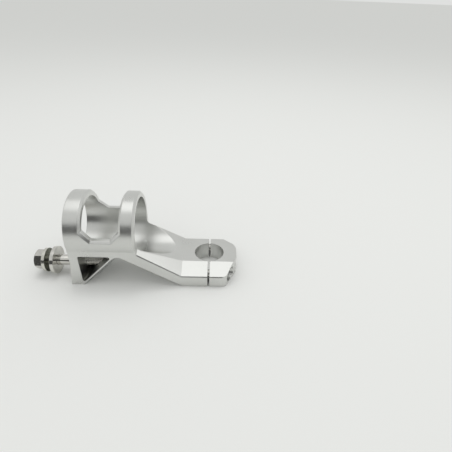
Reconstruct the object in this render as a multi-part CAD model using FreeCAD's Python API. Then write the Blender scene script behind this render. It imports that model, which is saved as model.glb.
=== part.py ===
import FreeCAD, Part
import math
import os

# Left handlebar riser of a mirrored pair. Millimetres, +Z up, lying as photographed.
# X runs along the fork ring from its free end towards the bar clamp, +Y is the far side.
# The origin is on the fork ring's axis at its free end.

V = FreeCAD.Vector

# Sizes of the bought pieces that the riser is made around
bar_d = 22.2                 # handlebar
fork_d = 41.0                # fork tube
bolt_d = 8.0                 # mounting bolt
bolt_length = 45.0
screw_d = 6.0                # clamp screws
screw_length = 20.0

# Clearances, all on the radius
bar_gap = 0.05
fork_gap = 0.25
thread_gap = 0.05
screw_hole_gap = 0.3
head_gap = 0.4
washer_gap = 0.25

# Fork ring
ring_wall = 4.3
ring_length = 47.3
ring_end_chamfer = 0.5
ring_arm_chamfer = 1.4

# Window between the two ring bands
window_start = 11.5
window_end = 37.0
window_floor_share = 17 / 410     # height of its floor over the axis, as a share of the fork tube
window_corner_share = 62 / 410    # its slanting corners, likewise
window_chamfer = 1.5

# Planes shared by the lug, the arm and the clamp
half_width = 23.9            # from the middle of the ring and the bar bore to each side
table_z = -38.0
deck_z = -23.8               # flat top of the clamp

# Lug under the ring
lug_back_y = 7.0
flare_top_z = -17.5
foot_flare = 2.5
lip_x = 6.2                  # where the pocket's lower lip meets the table
web_angle = 45.5
lip_thickness = 1.0
web_growth = 5.0             # the web is this much thicker behind its lip
web_taper = 12.5             # depth over which it thickens
arch_round = 6.0             # where the web runs into the arm's underside
leg_inner_x = 6.1
pocket_top_z = -12.2
pocket_back_y = -3.0
pocket_round = 1.3

# Arm, measured on from the ring
arm_run = 30.7               # to the kink where its top goes level
deck_angle = 27.0
belly_lag = 1.1              # the underside goes level this much later
belly_angle = 30.3
root_round = 5.0
groove_stop = 4.0            # the fork tube's groove ends this far before the kink

# Long bevels on the arm's top edges
bevel_y = -11.4
bevel_slope = 0.39
bevel_rise = 0.62
edge_break = 0.7             # narrow steep flat under the front bevel
edge_break_slope = 2.2
back_bevel_y = 17.1

# Bar clamp, measured on from the kink and from the bore
bore_run = 19.7
slit_gap = 1.4
cap_reach = 21.0
cap_flat_half = 5.8
cap_cheek_slope = 0.4536
cap_round = 5.0
corner_run = 11.1
corner_end_run = 17.1
corner_end_y = 12.1

# Clamp screws
screw_spread = 16.0          # from the bore's centre to each screw
screw_z = -31.6
seat_run = 7.2
screw_head_d = 10.0
screw_head_h = 6.0
screw_head_chamfer = 0.5
screw_socket = 5.0
screw_socket_depth = 3.2
screw_tip = 0.8
screw_hole_room = 1.0

# Mounting bolt and its washers
bolt_y = -9.0
bolt_z = -27.1
bolt_seat_x = -25.1
bolt_head_af = 13.0
bolt_head_h = 5.8
bolt_head_turn = 3.0
bolt_face_share = 0.95       # flat round face on the head, as a share of its width
bolt_head_angle = 30.0
bolt_tip = 1.0
hang_gap = 0.01              # a loose washer just clears the bolt that it hangs on
spring_od = 17.8
spring_thickness = 2.2
spring_rise = 0.9
spring_cut = 14.0            # degrees missing where the ring is split
spring_turn = 35.0
spring_x = -25.0
flat_od = 20.8
flat_thickness = 2.5
flat_x = -17.9

# Values that follow from those above
front_y = -half_width
back_y = half_width
bore_r = bar_d / 2 + bar_gap
fork_r = fork_d / 2 + fork_gap
ring_r = fork_r + ring_wall
window_floor = fork_d * window_floor_share
window_corner = fork_d * window_corner_share
kink_x = ring_length + arm_run
belly_kink_x = kink_x + belly_lag
bore_x = kink_x + bore_run
slit_arm_x = bore_x - slit_gap / 2
slit_cap_x = bore_x + slit_gap / 2
cap_end_x = bore_x + cap_reach
screw_seat_x = bore_x + seat_run
counterbore_r = screw_head_d / 2 + head_gap
screw_ys = (-screw_spread, screw_spread)
deck_slope = math.tan(math.radians(deck_angle))
belly_slope = math.tan(math.radians(belly_angle))
web_slope = math.tan(math.radians(web_angle))
far = 60.0                   # past every face, for cutters
past = 5.0                   # how far a cutter runs out of a face
near = 0.01                  # slack when edges are picked by where they are


def rod(radius, x0, x1, y, z):
    return Part.makeCylinder(radius, x1 - x0, V(x0, y, z), V(1, 0, 0))


def side_prism(outline, y0, y1):
    points = [V(x, y0, z) for x, z in outline]
    face = Part.Face(Part.makePolygon(points + points[:1]))
    return face.extrude(V(0, y1 - y0, 0))


def rounded_corner(before, corner, after, radius):
    # the arc's start, middle and end where two straight lines meet at a corner
    back = (before - corner).normalize()
    on = (after - corner).normalize()
    half = back.getAngle(on) / 2
    inward = (back + on).normalize()
    reach = radius / math.tan(half)
    depth = radius / math.sin(half) - radius
    return corner + back * reach, corner + inward * depth, corner + on * reach


def wire_with_arc(before, arc, after):
    # straight edges through both lists of points, joined by one arc
    points = before + [arc[0]]
    edges = [Part.makeLine(a, b) for a, b in zip(points, points[1:])]
    edges.append(Part.Arc(*arc).toShape())
    points = [arc[2]] + after + before[:1]
    edges += [Part.makeLine(a, b) for a, b in zip(points, points[1:])]
    return Part.Wire(edges)


def above(corners):
    # everything over a flat four-cornered patch, to cut a bevel with
    face = Part.Face(Part.makePolygon(corners + corners[:1]))
    return face.extrude(V(0, 0, far))


def cone_ring(x_face, size, side):
    # four-sided ring that takes a chamfer off one end of the fork ring
    points = [V(x_face - side * size, 0, ring_r), V(x_face + side, 0, ring_r - size - 1)]
    points += [V(x_face + side, 0, ring_r + past), V(x_face - side * size, 0, ring_r + past)]
    face = Part.Face(Part.makePolygon(points + points[:1]))
    return face.revolve(V(0, 0, 0), V(1, 0, 0), 360)


def fork_tube():
    ring = rod(ring_r, 0, ring_length, 0, 0).cut(rod(fork_r, -far, far, 0, 0))
    tube = ring_with_window(ring, 0)
    tube = tube.cut(cone_ring(0, ring_end_chamfer, -1))
    return tube.cut(cone_ring(ring_length, ring_arm_chamfer, 1))


def ring_with_window(ring, nudge):
    # where the chamfer can't be found at one exact size, the corners move by a hair
    tube = ring.cut(window(nudge))
    try:
        return tube.makeChamfer(window_chamfer, window_edges(tube))
    except Part.OCCError:
        return ring_with_window(ring, nudge + near)


def web_line(x, outward=0.0):
    # height of the web's underside at the lip, or of a line parallel to it
    return table_z - outward / math.cos(math.radians(web_angle)) + (x - lip_x) * web_slope


def belly_line(x):
    return table_z - (x - belly_kink_x) * belly_slope


def arch_corner(outward=0.0):
    # where the web's underside meets the arm's
    drop = outward / math.cos(math.radians(web_angle))
    x = (lip_x * web_slope + drop + belly_kink_x * belly_slope) / (web_slope + belly_slope)
    return x, belly_line(x)


def lug_outline(y, outward, end_x):
    toe_x = lip_x + outward / math.sin(math.radians(web_angle))
    corner_x, corner_z = arch_corner(outward)
    toe = V(toe_x, y, table_z)
    end = V(end_x, y, belly_line(end_x))
    arc = rounded_corner(toe, V(corner_x, y, corner_z), end, arch_round)
    before = [V(0, y, 0), V(0, y, flare_top_z), V(-foot_flare, y, table_z), toe]
    return wire_with_arc(before, arc, [end, V(end_x, y, 0)])


def lug():
    # thin at the front lip, thicker behind it
    end_x = arch_corner(web_growth)[0] + arch_round
    full_y = front_y + web_taper
    front = Part.makeLoft([lug_outline(front_y, 0, end_x), lug_outline(full_y, web_growth, end_x)], True, True)
    back = Part.Face(lug_outline(full_y, web_growth, end_x)).extrude(V(0, lug_back_y - full_y, 0))
    return front.fuse(back).removeSplitter().cut(pocket())


def pocket():
    # three-sided, with every corner rounded but the ones at its mouth
    floor_z = web_line(leg_inner_x, -lip_thickness)
    top_x = leg_inner_x + (pocket_top_z - floor_z) / web_slope
    outline = [(leg_inner_x, pocket_top_z), (leg_inner_x, floor_z), (top_x, pocket_top_z)]
    mouth_y = front_y - past
    block = side_prism(outline, mouth_y, pocket_back_y)
    inner = [e for e in block.Edges if e.BoundBox.YMax > mouth_y + past]
    return block.makeFillet(pocket_round, inner)


def deck_arc(y):
    # the round where the arm's sloping top leaves the ring's end
    root = V(ring_length, y, deck_z + arm_run * deck_slope)
    return rounded_corner(V(kink_x, y, deck_z), root, root + V(0, 0, far), root_round)


def arm():
    start_x, start_z = arch_corner()
    arc = deck_arc(front_y)
    before = [V(start_x, front_y, start_z), V(belly_kink_x, front_y, table_z), V(cap_end_x, front_y, table_z)]
    before += [V(cap_end_x, front_y, deck_z), V(kink_x, front_y, deck_z)]
    block = Part.Face(wire_with_arc(before, arc, [V(start_x, front_y, arc[2].z)]))
    block = block.extrude(V(0, back_y - front_y, 0))
    for cutter in front_bevels() + [back_bevel()]:
        block = block.cut(cutter)
    return block


def front_bevels():
    # the wide bevel and the edge break under it, each along the slope and along the level end
    edge_z = deck_z + bevel_slope * (front_y - bevel_y) - edge_break
    cutters = []
    for slope, line_y, line_z in ((bevel_slope, bevel_y, deck_z), (edge_break_slope, front_y, edge_z)):
        for x0, x1 in ((ring_length, kink_x), (kink_x, cap_end_x + past)):
            plan = [(x0, front_y - past), (x1, front_y - past), (x1, past), (x0, past)]
            corners = [V(x, y, line_z + slope * (y - line_y) - bevel_rise * min(x - kink_x, 0)) for x, y in plan]
            cutters.append(above(corners))
    return cutters


def back_bevel():
    # the arm's top line, round and all, carried outward and down at the same rate
    y = back_bevel_y
    before = [V(cap_end_x + past, y, far), V(cap_end_x + past, y, deck_z), V(kink_x, y, deck_z)]
    area = Part.Face(wire_with_arc(before, deck_arc(y), [V(ring_length, y, far)]))
    return area.extrude(V(0, 1, -1) * (back_y - y + past))


def window(nudge):
    low, high = window_floor, window_floor + window_corner + nudge
    outline = [(window_start, high), (window_start + window_corner, low)]
    outline += [(window_end - window_corner, low), (window_end, high), (window_end, far), (window_start, far)]
    return side_prism(outline, -far, far)


def window_edges(shape):
    # the window's edges on the outside of the ring
    found = []
    for edge in shape.Edges:
        points = edge.discretize(9)
        on_ring = all(abs(math.hypot(p.y, p.z) - ring_r) < near for p in points)
        inside = all(window_start - near < p.x < window_end + near for p in points)
        if on_ring and inside and all(p.z > window_floor - near for p in points):
            found.append(edge)
    return found


def cap_trim():
    # what is taken off round the end of the clamp, seen from above
    cutters = []
    for side in (-1, 1):
        y0 = side * cap_flat_half
        y1 = side * (half_width + past)
        cheek_x = cap_end_x - cap_cheek_slope * abs(y1 - y0)
        points = [V(cap_end_x, y0, -far), V(cap_end_x + past, y0, -far)]
        points += [V(cap_end_x + past, y1, -far), V(cheek_x, y1, -far)]
        cutters.append(Part.Face(Part.makePolygon(points + points[:1])).extrude(V(0, 0, 2 * far)))
    return cutters + [corner_bevel()]


def corner_bevel():
    # the sloping flat that turns the back bevel round the clamp's far corner
    start = V(bore_x + corner_run, back_bevel_y, deck_z)
    end = V(bore_x + corner_end_run, corner_end_y, deck_z)
    along = end - start
    outward = V(-along.y, along.x, 0).normalize()
    drop = (outward - V(0, 0, 1)) * half_width
    return above([start - along, end + along, end + along + drop, start - along + drop])


def holes():
    # the bolt's hole goes right through the lug
    screw_hole_end = screw_seat_x - screw_length - screw_hole_room
    cutters = [rod(bolt_d / 2, -far, arch_corner()[0], bolt_y, bolt_z)]
    for y in screw_ys:
        cutters.append(rod(screw_d / 2, screw_hole_end, bore_x, y, screw_z))
        cutters.append(rod(screw_d / 2 + screw_hole_gap, bore_x, cap_end_x, y, screw_z))
        cutters.append(rod(counterbore_r, screw_seat_x, cap_end_x + past, y, screw_z))
    cutters.append(Part.makeCylinder(bore_r, 2 * far, V(bore_x, 0, -far), V(0, 0, 1)))
    return cutters


def machined_blank():
    under = lug().fuse(arm()).cut(rod(fork_r, -far, kink_x - groove_stop, 0, 0))
    blank = fork_tube().fuse(under).removeSplitter()
    for cutter in cap_trim():
        blank = blank.cut(cutter)
    upright = [e for e in blank.Edges if e.BoundBox.XMin > slit_cap_x
               and e.BoundBox.ZLength > cap_round and e.BoundBox.XLength < near and e.BoundBox.YLength < near]
    blank = blank.makeFillet(cap_round, upright)
    for cutter in holes():
        blank = blank.cut(cutter)
    return blank


def slab(x0, x1):
    return Part.makeBox(x1 - x0, 2 * far, 2 * far, V(x0, -far, -far))


def hexagon(across_flats, x0, x1, y, z, turn):
    radius = across_flats / math.sqrt(3)
    points = []
    for k in range(6):
        angle = math.radians(turn + 60 * k)
        points.append(V(x0, y + radius * math.cos(angle), z + radius * math.sin(angle)))
    return Part.Face(Part.makePolygon(points + points[:1])).extrude(V(x1 - x0, 0, 0))


def clamp_screw(y):
    shank = rod(screw_d / 2 - thread_gap, screw_seat_x - screw_length, screw_seat_x, y, screw_z)
    tip = min(shank.Edges, key=lambda e: e.BoundBox.XMax)
    shank = shank.makeChamfer(screw_tip, [tip])
    head_x = screw_seat_x + screw_head_h
    head = rod(screw_head_d / 2, screw_seat_x, head_x, y, screw_z)
    rim = max(head.Edges, key=lambda e: e.BoundBox.XMin)
    head = head.makeChamfer(screw_head_chamfer, [rim])
    socket = hexagon(screw_socket, head_x - screw_socket_depth, head_x + past, y, screw_z, 0)
    return head.fuse(shank).removeSplitter().cut(socket)


def mounting_bolt():
    shank = rod(bolt_d / 2 - thread_gap, bolt_seat_x, bolt_seat_x + bolt_length, bolt_y, bolt_z)
    tip = max(shank.Edges, key=lambda e: e.BoundBox.XMin)
    shank = shank.makeChamfer(bolt_tip, [tip])
    head_x = bolt_seat_x - bolt_head_h
    head = hexagon(bolt_head_af, head_x, bolt_seat_x, bolt_y, bolt_z, bolt_head_turn)
    face_r = bolt_head_af / 2 * bolt_face_share
    spread = bolt_head_h / math.tan(math.radians(bolt_head_angle))
    cone = Part.makeCone(face_r, face_r + spread, bolt_head_h, V(head_x, bolt_y, bolt_z), V(1, 0, 0))
    return head.common(cone).fuse(shank).removeSplitter()


def washer_z():
    # a loose washer hangs on the bolt by the top of its hole
    return bolt_z - washer_gap - thread_gap + hang_gap


def spring_washer():
    # one rectangular coil, its ends left apart
    inner = bolt_d / 2 + washer_gap
    outer = spring_od / 2
    path = Part.makeHelix(spring_rise, spring_rise * (360 - spring_cut) / 360, inner)
    corners = [V(inner, 0, 0), V(outer, 0, 0), V(outer, 0, spring_thickness), V(inner, 0, spring_thickness)]
    coil = Part.Wire(path).makePipeShell([Part.makePolygon(corners + corners[:1])], True, True)
    coil.rotate(V(0, 0, 0), V(0, 0, 1), spring_turn)
    coil.rotate(V(0, 0, 0), V(0, 1, 0), 90)
    coil.translate(V(spring_x, bolt_y, washer_z()))
    return coil


def flat_washer():
    ring = rod(flat_od / 2, flat_x, flat_x + flat_thickness, bolt_y, washer_z())
    return ring.cut(rod(bolt_d / 2 + washer_gap, -far, far, bolt_y, washer_z()))


def build():
    blank = machined_blank()
    nodes = {
        "riser_body": blank.common(slab(-far, slit_arm_x)),
        "clamp_cap": blank.common(slab(slit_cap_x, 2 * far)),
        "clamp_screws": Part.makeCompound([clamp_screw(y) for y in screw_ys]),
        "mounting_bolt": mounting_bolt(),
        "spring_washer": spring_washer(),
        "flat_washer": flat_washer(),
    }
    os.makedirs("parts", exist_ok=True)
    for name, shape in nodes.items():
        shape.exportStep("parts/" + name + ".step")
        print(name, "solids", len(shape.Solids), "volume", round(shape.Volume, 1), "valid", shape.isValid())


build()
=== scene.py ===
import bpy
import bmesh
import math
from mathutils import Matrix, Vector


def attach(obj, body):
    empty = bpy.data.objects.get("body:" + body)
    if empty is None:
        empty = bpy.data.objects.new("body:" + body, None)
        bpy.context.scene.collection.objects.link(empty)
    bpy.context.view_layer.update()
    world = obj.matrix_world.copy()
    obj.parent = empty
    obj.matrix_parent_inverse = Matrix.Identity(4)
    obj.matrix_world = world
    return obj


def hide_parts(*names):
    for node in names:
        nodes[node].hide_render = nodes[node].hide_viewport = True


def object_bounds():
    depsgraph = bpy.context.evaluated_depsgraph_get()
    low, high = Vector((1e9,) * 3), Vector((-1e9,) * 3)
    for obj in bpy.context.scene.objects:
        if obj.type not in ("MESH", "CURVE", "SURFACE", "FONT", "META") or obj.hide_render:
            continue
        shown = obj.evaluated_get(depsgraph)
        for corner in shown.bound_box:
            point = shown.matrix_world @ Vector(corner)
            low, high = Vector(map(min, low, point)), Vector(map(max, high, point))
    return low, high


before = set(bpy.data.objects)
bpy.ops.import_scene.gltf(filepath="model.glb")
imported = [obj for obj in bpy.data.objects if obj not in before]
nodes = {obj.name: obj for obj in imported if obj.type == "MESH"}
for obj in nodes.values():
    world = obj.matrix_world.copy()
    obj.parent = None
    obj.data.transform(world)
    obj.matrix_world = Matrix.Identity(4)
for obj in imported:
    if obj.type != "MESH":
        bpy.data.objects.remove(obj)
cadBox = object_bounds()
print("frame loaded:", ", ".join(sorted(nodes)))

# the view of the photo: where the lens stood and how it was tipped
view = {
    "lensAt": (0.1026, -0.2157, 0.1446),
    "pitch": 33.68,
    "yaw": 1.92,
    "roll": 2.46,
    "focalPixels": 350,
    "framePixels": 452,
    "sensorWidth": 36,
    "nearClip": 0.01,
}


def addCamera():
    data = bpy.data.cameras.new("camera")
    data.sensor_width = view["sensorWidth"]
    data.sensor_fit = "HORIZONTAL"
    data.lens = data.sensor_width * view["focalPixels"] / view["framePixels"]
    data.clip_start = view["nearClip"]
    cam = bpy.data.objects.new("camera", data)
    bpy.context.collection.objects.link(cam)
    turn = Matrix.Rotation(math.radians(-view["yaw"]), 4, "Z")
    turn = turn @ Matrix.Rotation(math.radians(90 - view["pitch"]), 4, "X")
    turn = turn @ Matrix.Rotation(math.radians(view["roll"]), 4, "Z")
    cam.matrix_world = Matrix.Translation(view["lensAt"]) @ turn
    bpy.context.scene.camera = cam


# small helpers for the node trees; most of a noise lies between these two values
noiseLow = 0.3
noiseHigh = 0.7


def newMaterial(name):
    mat = bpy.data.materials.new(name)
    mat.use_nodes = True
    tree = mat.node_tree
    tree.nodes.clear()
    out = tree.nodes.new("ShaderNodeOutputMaterial")
    shader = tree.nodes.new("ShaderNodeBsdfPrincipled")
    tree.links.new(shader.outputs["BSDF"], out.inputs["Surface"])
    return mat, tree, shader


def noiseOn(tree, coords, scale, detail):
    node = tree.nodes.new("ShaderNodeTexNoise")
    node.inputs["Scale"].default_value = scale
    node.inputs["Detail"].default_value = detail
    tree.links.new(coords, node.inputs["Vector"])
    return node.outputs["Fac"]


def spread(tree, value, low, high):
    node = tree.nodes.new("ShaderNodeMapRange")
    node.inputs["From Min"].default_value = noiseLow
    node.inputs["From Max"].default_value = noiseHigh
    node.inputs["To Min"].default_value = low
    node.inputs["To Max"].default_value = high
    tree.links.new(value, node.inputs["Value"])
    return node.outputs["Result"]


def tint(tree, factor, deep, pale):
    ramp = tree.nodes.new("ShaderNodeValToRGB")
    ramp.color_ramp.elements[0].position = noiseLow
    ramp.color_ramp.elements[0].color = (*deep, 1)
    ramp.color_ramp.elements[1].position = noiseHigh
    ramp.color_ramp.elements[1].color = (*pale, 1)
    tree.links.new(factor, ramp.inputs["Fac"])
    return ramp.outputs["Color"]


def brokenEdges(tree, look, grain):
    # edges shade as if just broken, and the grain lies over them
    edge = tree.nodes.new("ShaderNodeBevel")
    edge.samples = 6
    edge.inputs["Radius"].default_value = look["edgeRadius"]
    bump = tree.nodes.new("ShaderNodeBump")
    bump.inputs["Strength"].default_value = look["grainStrength"]
    bump.inputs["Distance"].default_value = look["grainDepth"]
    tree.links.new(grain, bump.inputs["Height"])
    tree.links.new(edge.outputs["Normal"], bump.inputs["Normal"])
    return bump.outputs["Normal"]


def paintedShadeOnFlats(tree, colour, paintedFlatShade):
    # painted shade: the flats, square to the bolt, are made darker than the rim, standing for the shade
    # between the washers
    apart = tree.nodes.new("ShaderNodeSeparateXYZ")
    tree.links.new(tree.nodes.new("ShaderNodeTexCoord").outputs["Normal"], apart.inputs[0])
    across = tree.nodes.new("ShaderNodeMath")
    across.operation = "ABSOLUTE"
    tree.links.new(apart.outputs["X"], across.inputs[0])
    mix = tree.nodes.new("ShaderNodeMix")
    mix.data_type = "RGBA"
    tree.links.new(across.outputs[0], mix.inputs["Factor"])
    rimSide, shadedFlatSide = [socket for socket in mix.inputs if socket.type == "RGBA"]
    tree.links.new(colour, rimSide)
    shadedFlatSide.default_value = (*paintedFlatShade, 1)
    return [socket for socket in mix.outputs if socket.type == "RGBA"][0]


def metal(name, look):
    mat, tree, shader = newMaterial(name)
    coords = tree.nodes.new("ShaderNodeTexCoord").outputs["Object"]
    cloud = noiseOn(tree, coords, look["cloudScale"], look["cloudDetail"])
    grain = noiseOn(tree, coords, look["grainScale"], look["grainDetail"])
    colour = tint(tree, cloud, look["deep"], look["pale"])
    # painted shade on the flats, for the looks that list it
    if "paintedFlatShade" in look:
        colour = paintedShadeOnFlats(tree, colour, look["paintedFlatShade"])
    rough = spread(tree, cloud, look["roughLow"], look["roughHigh"])
    tree.links.new(colour, shader.inputs["Base Color"])
    tree.links.new(rough, shader.inputs["Roughness"])
    tree.links.new(brokenEdges(tree, look, grain), shader.inputs["Normal"])
    shader.inputs["Metallic"].default_value = 1.0
    return mat


# bead-blasted aluminium: fine grain and a soft sheen
satin = {
    "pale": (0.70, 0.705, 0.685),
    "deep": (0.65, 0.655, 0.635),
    "roughLow": 0.27,
    "roughHigh": 0.33,
    "cloudScale": 60,
    "cloudDetail": 4,
    "grainScale": 2600,
    "grainDetail": 2,
    "grainDepth": 0.00002,
    "grainStrength": 0.25,
    "edgeRadius": 0.0005,
}

# what the steel pieces share
steel = {
    "cloudScale": 180,
    "cloudDetail": 4,
    "grainScale": 900,
    "grainDetail": 3,
    "grainDepth": 0.00003,
    "grainStrength": 0.2,
    "edgeRadius": 0.0003,
}

# bright zinc plate on the bolt and the flat washer
zinc = {
    **steel,
    "pale": (0.72, 0.71, 0.67),
    "deep": (0.58, 0.57, 0.54),
    "roughLow": 0.10,
    "roughHigh": 0.18,
}

# the clamp screws are a shade darker than the bolt
screwLook = {
    **steel,
    "pale": (0.54, 0.535, 0.51),
    "deep": (0.40, 0.395, 0.37),
    "roughLow": 0.16,
    "roughHigh": 0.28,
}

# the spring washer is bright zinc on its rim, with painted shade darkening its flats
springLook = {
    **steel,
    "pale": (0.72, 0.715, 0.66),
    "deep": (0.58, 0.575, 0.52),
    "paintedFlatShade": (0.12, 0.125, 0.095),
    "roughLow": 0.14,
    "roughHigh": 0.24,
}


def dressNode(name, mat):
    mesh = nodes[name].data
    mesh.materials.clear()
    mesh.materials.append(mat)


satinMat = metal("satinAluminium", satin)
zincMat = metal("brightZinc", zinc)
screwMat = metal("screwSteel", screwLook)
springMat = metal("springSteel", springLook)
for nodeName in ("riser_body", "clamp_cap"):
    dressNode(nodeName, satinMat)
for nodeName in ("mounting_bolt", "flat_washer"):
    dressNode(nodeName, zincMat)
dressNode("clamp_screws", screwMat)
dressNode("spring_washer", springMat)
print("finishes on", len(nodes), "nodes")


# the hex bolt: its head is the CAD's, the shank gets a rolled thread from a node tree
bolt = {
    "seatX": -0.0251,
    "axisY": -0.009,
    "axisZ": -0.0271,
    "rootOverlap": 0.0005,      # the shank starts this deep in the head
    "length": 0.045,
    "radius": 0.00395,
    "tip": 0.001,
    "pitch": 0.00125,
    "depth": 0.00045,
    "threadFrom": 0.0235,       # from the head, the plain part ends here
    "sides": 48,
    "perPitch": 8,
    "pastSeat": 0.00001,        # a face further along than this is the shank's
    "mergeGap": 0.000001,
    "crease": 20,
}


def boltHead():
    mesh = nodes["mounting_bolt"].data.copy()
    mesh.name = "mountingBolt"
    bm = bmesh.new()
    bm.from_mesh(mesh)
    bmesh.ops.remove_doubles(bm, verts=bm.verts, dist=bolt["mergeGap"])
    shankFrom = bolt["seatX"] + bolt["pastSeat"]
    shank = [f for f in bm.faces if f.calc_center_median().x > shankFrom]
    bmesh.ops.delete(bm, geom=shank, context="FACES")
    bmesh.ops.holes_fill(bm, edges=[e for e in bm.edges if e.is_boundary], sides=0)
    bmesh.ops.recalc_face_normals(bm, faces=bm.faces)
    for face in bm.faces:
        face.smooth = True
    for edge in bm.edges:
        edge.smooth = edge.calc_face_angle(0) < math.radians(bolt["crease"])
    bm.to_mesh(mesh)
    bm.free()
    obj = bpy.data.objects.new("mountingBolt", mesh)
    bpy.context.collection.objects.link(obj)
    return obj


def threadTree():
    tree = bpy.data.node_groups.new("rolledThread", "GeometryNodeTree")
    tree.interface.new_socket("Head", in_out="INPUT", socket_type="NodeSocketGeometry")
    for name in ("Radius", "Length", "Pitch", "Depth", "Thread From", "Tip"):
        tree.interface.new_socket(name, in_out="INPUT", socket_type="NodeSocketFloat")
    for name in ("Sides", "Rings"):
        tree.interface.new_socket(name, in_out="INPUT", socket_type="NodeSocketInt")
    tree.interface.new_socket("Start", in_out="INPUT", socket_type="NodeSocketVector")
    tree.interface.new_socket("Finish", in_out="INPUT", socket_type="NodeSocketMaterial")
    tree.interface.new_socket("Bolt", in_out="OUTPUT", socket_type="NodeSocketGeometry")
    given = tree.nodes.new("NodeGroupInput").outputs
    result = tree.nodes.new("NodeGroupOutput")

    def calc(operation, *values, clamp=False):
        node = tree.nodes.new("ShaderNodeMath")
        node.operation = operation
        node.use_clamp = clamp
        for socket, value in zip(node.inputs, values):
            if isinstance(value, (int, float)):
                socket.default_value = value
            else:
                tree.links.new(value, socket)
        return node.outputs[0]

    rod = tree.nodes.new("GeometryNodeMeshCylinder")
    tree.links.new(given["Sides"], rod.inputs["Vertices"])
    tree.links.new(given["Rings"], rod.inputs["Side Segments"])
    tree.links.new(given["Radius"], rod.inputs["Radius"])
    tree.links.new(given["Length"], rod.inputs["Depth"])
    smooth = tree.nodes.new("GeometryNodeSetShadeSmooth")
    tree.links.new(rod.outputs["Mesh"], smooth.inputs["Geometry"])
    tree.links.new(rod.outputs["Side"], smooth.inputs["Shade Smooth"])

    # each point: how far along the shank, which way round, and how deep the thread is there
    here = tree.nodes.new("ShaderNodeSeparateXYZ")
    tree.links.new(tree.nodes.new("GeometryNodeInputPosition").outputs[0], here.inputs[0])
    along = calc("ADD", here.outputs["Z"], calc("DIVIDE", given["Length"], 2))
    bearing = calc("ARCTAN2", here.outputs["Y"], here.outputs["X"])
    turns = calc("ADD", calc("DIVIDE", along, given["Pitch"]), calc("DIVIDE", bearing, 2 * math.pi))
    groove = calc("ABSOLUTE", calc("SUBTRACT", calc("MULTIPLY", calc("FRACT", turns), 2), 1))
    begun = calc("DIVIDE", calc("SUBTRACT", along, given["Thread From"]), given["Pitch"], clamp=True)
    toEnd = calc("SUBTRACT", given["Length"], along)
    cut = calc("MULTIPLY", calc("MULTIPLY", groove, begun), given["Depth"])
    chamfer = calc("MAXIMUM", calc("SUBTRACT", given["Tip"], toEnd), 0)
    inward = calc("MAXIMUM", cut, chamfer)
    share = calc("SUBTRACT", 1, calc("DIVIDE", inward, given["Radius"]))
    spot = tree.nodes.new("ShaderNodeCombineXYZ")
    tree.links.new(along, spot.inputs["X"])
    tree.links.new(calc("MULTIPLY", here.outputs["X"], share), spot.inputs["Y"])
    tree.links.new(calc("MULTIPLY", here.outputs["Y"], share), spot.inputs["Z"])
    moved = tree.nodes.new("ShaderNodeVectorMath")
    tree.links.new(spot.outputs[0], moved.inputs[0])
    tree.links.new(given["Start"], moved.inputs[1])
    place = tree.nodes.new("GeometryNodeSetPosition")
    tree.links.new(smooth.outputs[0], place.inputs["Geometry"])
    tree.links.new(moved.outputs[0], place.inputs["Position"])

    join = tree.nodes.new("GeometryNodeJoinGeometry")
    tree.links.new(given["Head"], join.inputs[0])
    tree.links.new(place.outputs[0], join.inputs[0])
    real = tree.nodes.new("GeometryNodeRealizeInstances")
    tree.links.new(join.outputs[0], real.inputs[0])
    dress = tree.nodes.new("GeometryNodeSetMaterial")
    tree.links.new(real.outputs[0], dress.inputs["Geometry"])
    tree.links.new(given["Finish"], dress.inputs["Material"])
    tree.links.new(dress.outputs[0], result.inputs[0])
    return tree


def addBolt(mat):
    obj = boltHead()
    tree = threadTree()
    length = bolt["length"] + bolt["rootOverlap"]
    values = {
        "Radius": bolt["radius"],
        "Length": length,
        "Pitch": bolt["pitch"],
        "Depth": bolt["depth"],
        "Thread From": bolt["threadFrom"] + bolt["rootOverlap"],
        "Tip": bolt["tip"],
        "Sides": bolt["sides"],
        "Rings": round(length / bolt["pitch"] * bolt["perPitch"]),
        "Start": (bolt["seatX"] - bolt["rootOverlap"], bolt["axisY"], bolt["axisZ"]),
        "Finish": mat,
    }
    modifier = obj.modifiers.new("thread", "NODES")
    modifier.node_group = tree
    for item in tree.interface.items_tree:
        if item.in_out == "INPUT" and item.name in values:
            modifier[item.identifier] = values[item.name]
    seen = obj.evaluated_get(bpy.context.evaluated_depsgraph_get())
    made = bpy.data.meshes.new_from_object(seen)
    obj.modifiers.remove(modifier)
    obj.data = made
    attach(obj, "root")
    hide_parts("mounting_bolt")
    print("bolt threaded,", len(made.polygons), "faces")


addBolt(zincMat)

# under the groove the arm is thinner than the bore is deep: this saddle closes the gap by the ring's end
saddle = {
    "fromX": 0.0469,
    "toX": 0.0512,
    "inner": 0.0208,
    "outerFrom": 0.0226,
    "outerTo": 0.0214,
    "halfAngle": 26,
    "steps": 24,
}


def addSaddle(mat):
    bm = bmesh.new()
    rows = []
    section = (("fromX", "inner"), ("toX", "inner"), ("toX", "outerTo"), ("fromX", "outerFrom"))
    for k in range(saddle["steps"] + 1):
        angle = math.radians(saddle["halfAngle"]) * (2 * k / saddle["steps"] - 1)
        row = []
        for xName, rName in section:
            radius = saddle[rName]
            point = (saddle[xName], radius * math.sin(angle), -radius * math.cos(angle))
            row.append(bm.verts.new(point))
        rows.append(row)
    for a, b in zip(rows, rows[1:]):
        for k in range(len(section)):
            bm.faces.new((a[k], a[k - 1], b[k - 1], b[k]))
    bm.faces.new(rows[0])
    bm.faces.new(rows[-1])
    bmesh.ops.recalc_face_normals(bm, faces=bm.faces)
    mesh = bpy.data.meshes.new("grooveSaddle")
    bm.to_mesh(mesh)
    bm.free()
    mesh.materials.append(mat)
    obj = bpy.data.objects.new("grooveSaddle", mesh)
    bpy.context.collection.objects.link(obj)
    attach(obj, "root")
    print("saddle under the groove added")


addSaddle(satinMat)


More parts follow.
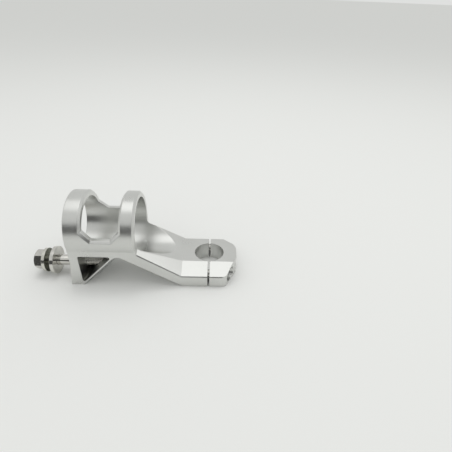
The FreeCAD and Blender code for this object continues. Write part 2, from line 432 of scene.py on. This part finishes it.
# pale table, a long softbox overhead, and two dark cards that only reflections see
stageSet = {
    "tableSize": 60.0,
    "tableTone": (0.84, 0.845, 0.83),
    "tableRough": 0.6,
    "roomTone": (0.74, 0.745, 0.735),
    "lampAt": (0.39, 0.06, 0.9),
    "lampLong": 1.62,
    "lampDeep": 0.6,
    "lampPower": 1.9,
    "keyAt": (0.06, 0.25, 1.0),
    "keySize": 0.3,
    "keyPower": 1.0,
    "cardAt": -0.6,
    "cardTop": 0.32,
    "cardWidth": 3.0,
    "cardTone": 0.09,
    "lensCardAt": (0.25, -0.30, 0.23),
    "lensCardHalf": 0.10,
    "windowAt": (0.012, -0.024, 0.005),
}


def plane(name, corners, mat):
    mesh = bpy.data.meshes.new(name)
    mesh.from_pydata(corners, [], [tuple(range(len(corners)))])
    mesh.materials.append(mat)
    obj = bpy.data.objects.new(name, mesh)
    bpy.context.collection.objects.link(obj)
    return obj


def matt(name, tone):
    mat, _, shader = newMaterial(name)
    shader.inputs["Base Color"].default_value = (*tone, 1)
    shader.inputs["Specular IOR Level"].default_value = 0.0
    shader.inputs["Roughness"].default_value = stageSet["tableRough"]
    return mat


def addCard(name, corners, mat):
    card = plane(name, corners, mat)
    card.visible_camera = False
    card.visible_diffuse = False
    card.visible_shadow = False


def addStage():
    low = cadBox[0][2]
    half = stageSet["tableSize"] / 2
    corners = [(-half, -half, low), (half, -half, low), (half, half, low), (-half, half, low)]
    table = plane("table", corners, matt("paleTable", stageSet["tableTone"]))
    cardMat = matt("darkCard", [stageSet["cardTone"]] * 3)
    wide = stageSet["cardWidth"] / 2
    at = stageSet["cardAt"]
    top = stageSet["cardTop"]
    corners = [(-wide, at, low), (wide, at, low), (wide, at, top), (-wide, at, top)]
    addCard("darkCard", corners, cardMat)
    # the dark bulk behind the lens, seen in the slanted corner of the window
    lens = Vector(stageSet["lensCardAt"])
    toWindow = Vector(stageSet["windowAt"]) - lens
    across = toWindow.cross(Vector((0, 0, 1))).normalized() * stageSet["lensCardHalf"]
    upward = across.cross(toWindow).normalized() * stageSet["lensCardHalf"]
    lower = lens - upward
    upper = lens + upward
    addCard("lensCard", [lower - across, lower + across, upper + across, upper - across], cardMat)


def addLight():
    data = bpy.data.lights.new("softbox", "AREA")
    data.shape = "RECTANGLE"
    data.size = stageSet["lampLong"]
    data.size_y = stageSet["lampDeep"]
    data.energy = stageSet["lampPower"]
    lamp = bpy.data.objects.new("softbox", data)
    lamp.location = stageSet["lampAt"]
    bpy.context.collection.objects.link(lamp)
    # the key throws the shadows on the table and isn't seen in the metal
    keyData = bpy.data.lights.new("key", "AREA")
    keyData.size = stageSet["keySize"]
    keyData.energy = stageSet["keyPower"]
    key = bpy.data.objects.new("key", keyData)
    key.location = stageSet["keyAt"]
    key.rotation_euler[0] = -math.atan2(stageSet["keyAt"][1], stageSet["keyAt"][2])
    key.visible_glossy = False
    bpy.context.collection.objects.link(key)
    world = bpy.data.worlds.new("room")
    bpy.context.scene.world = world
    world.use_nodes = True
    back = world.node_tree.nodes["Background"]
    back.inputs["Color"].default_value = (*stageSet["roomTone"], 1)
    back.inputs["Strength"].default_value = 1.0


addStage()
addLight()
addCamera()
bpy.context.scene.view_settings.view_transform = "Standard"
print("stage, light and camera set")

bpy.context.view_layer.update()
